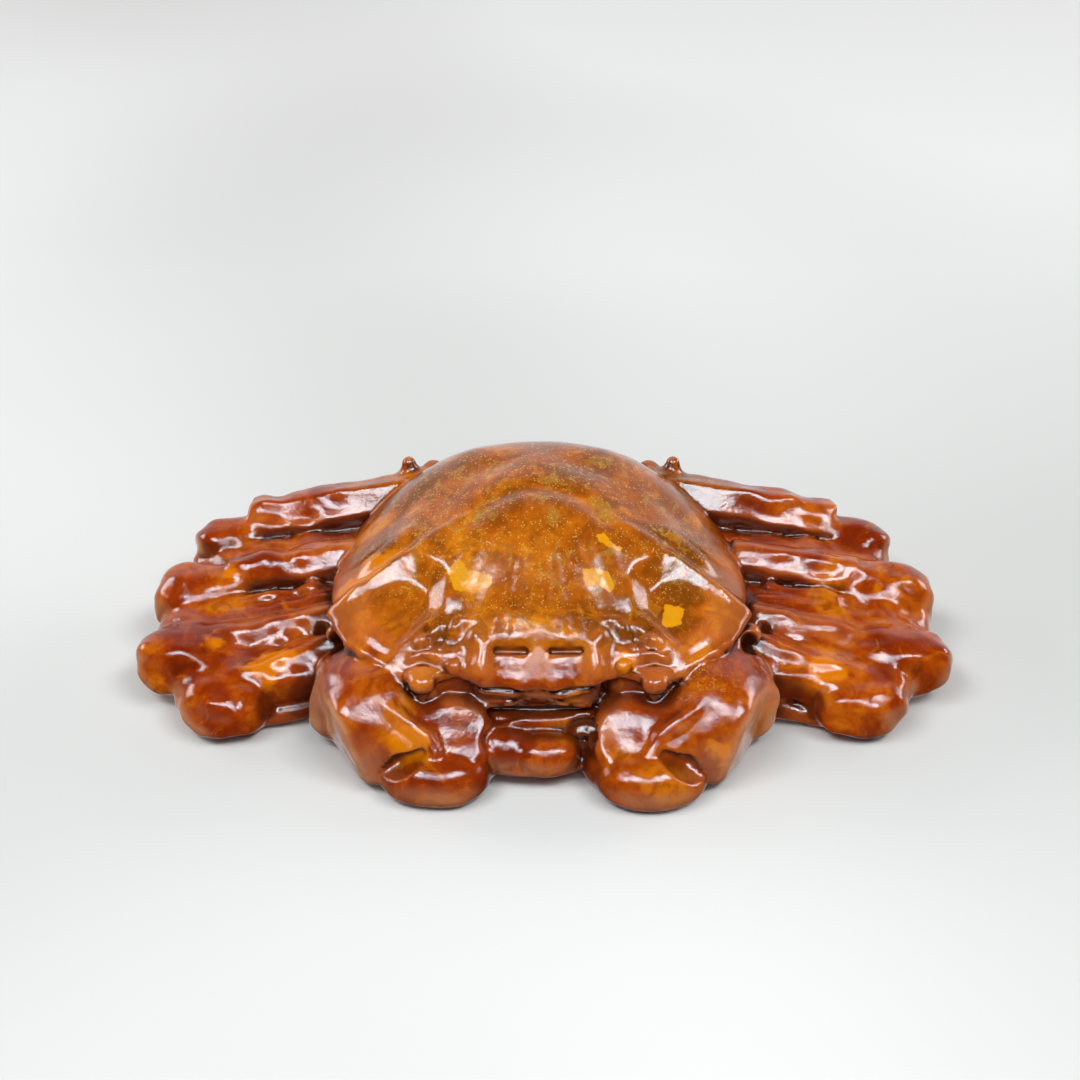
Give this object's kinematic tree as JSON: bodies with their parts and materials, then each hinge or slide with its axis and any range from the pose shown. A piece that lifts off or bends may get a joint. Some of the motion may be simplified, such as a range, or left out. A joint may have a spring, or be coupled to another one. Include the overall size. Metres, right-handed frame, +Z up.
{
  "type": "amber crab carving",
  "caption": "Resting crab carved from one piece of polished see-through amber: domed shell, folded legs in relief at both sides, claws tucked under the face, flat belly it rests on.",
  "frame": {"origin": "on the plane the carving rests on, under the middle of its outline", "axes": "+Z up from the rest plane, -Y towards the face and claws, X across the legs, the carving's own right side at -X"},
  "size_m": [0.1104, 0.057, 0.0289],
  "materials": {
    "amber": "polished see-through amber, red-brown to honey, glossy"
  },
  "bodies": {
    "root": {"amber_crab": "amber"}
  },
  "joints": []
}
